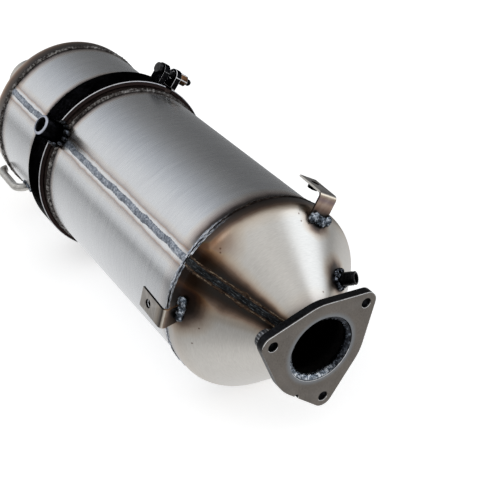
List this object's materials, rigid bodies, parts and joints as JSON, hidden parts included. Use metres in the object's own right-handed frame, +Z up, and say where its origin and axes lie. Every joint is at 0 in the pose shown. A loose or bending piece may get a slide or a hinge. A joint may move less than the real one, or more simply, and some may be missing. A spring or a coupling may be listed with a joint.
{
  "type": "diesel particulate filter",
  "caption": "Round steel exhaust filter: two cans joined by a V clamp, a pressed outlet cone with welded angle brackets and a pressure port, and a bolted outlet flange.",
  "frame": {"origin": "centre of the outlet flange's face, on the axis of the cans", "axes": "+X along the can axis, out of the outlet, +Z up as the part hangs in the picture"},
  "size_m": [0.702, 0.2312, 0.2252],
  "materials": {
    "can_steel": "rolled stainless sheet, finely brushed round the can",
    "cone_steel": "pressed stainless sheet, brushed, with heat tint by the welds",
    "seam_dark": "dark ridged weld bead",
    "weld": "rough blue-grey weld metal",
    "ring_steel": "heat-tinted brown machined steel",
    "gasket": "grey pressed graphite and steel sheet",
    "clamp_black": "black coated steel strip and forgings",
    "nut_bronze": "bronze-coloured plated nut",
    "black_steel": "blackened turned steel",
    "bracket_steel": "bent steel strip, tinted brown at the foot",
    "flange_steel": "dark brown-grey mill-finish steel plate",
    "pipe_steel": "drawn steel tube",
    "rod_steel": "bent bright steel rod",
    "filter_ceramic": "porous silicon carbide block, matt grey",
    "catalyst_ceramic": "coated cordierite block, matt beige",
    "mat": "white ceramic fibre mat"
  },
  "bodies": {
    "root": {"outlet_cone": "cone_steel", "outlet_cone_seam": "seam_dark", "filter_can": "can_steel", "can_cone_weld": "weld", "filter_can_seam": "weld", "filter_joint_ring": "ring_steel", "front_joint_ring": "ring_steel", "filter_joint_weld": "weld", "front_joint_weld": "weld", "joint_gasket": "gasket", "clamp_band": "clamp_black", "clamp_lug_far": "clamp_black", "clamp_lug_near": "clamp_black", "clamp_bolt": "clamp_black", "clamp_nut": "nut_bronze", "sensor_bung": "black_steel", "sensor_bung_weld": "black_steel", "pressure_port": "black_steel", "pressure_port_weld": "weld", "upper_bracket": "bracket_steel", "upper_bracket_nut": "black_steel", "upper_bracket_weld": "weld", "lower_bracket": "bracket_steel", "lower_bracket_nut": "black_steel", "lower_bracket_weld": "weld", "outlet_flange": "flange_steel", "outlet_flange_weld": "weld", "flange_nut": "flange_steel", "front_can": "can_steel", "front_can_seam": "weld", "front_can_weld": "weld", "inlet_cone": "cone_steel", "inlet_pipe": "pipe_steel", "inlet_pipe_weld": "weld", "hanger_hook": "rod_steel", "hanger_hook_weld": "weld", "filter_core": "filter_ceramic", "filter_mat": "mat", "filter_retainer_rear": "can_steel", "filter_retainer_front": "can_steel", "catalyst_core": "catalyst_ceramic", "catalyst_mat": "mat", "catalyst_retainer_rear": "can_steel", "catalyst_retainer_front": "can_steel"}
  },
  "joints": []
}
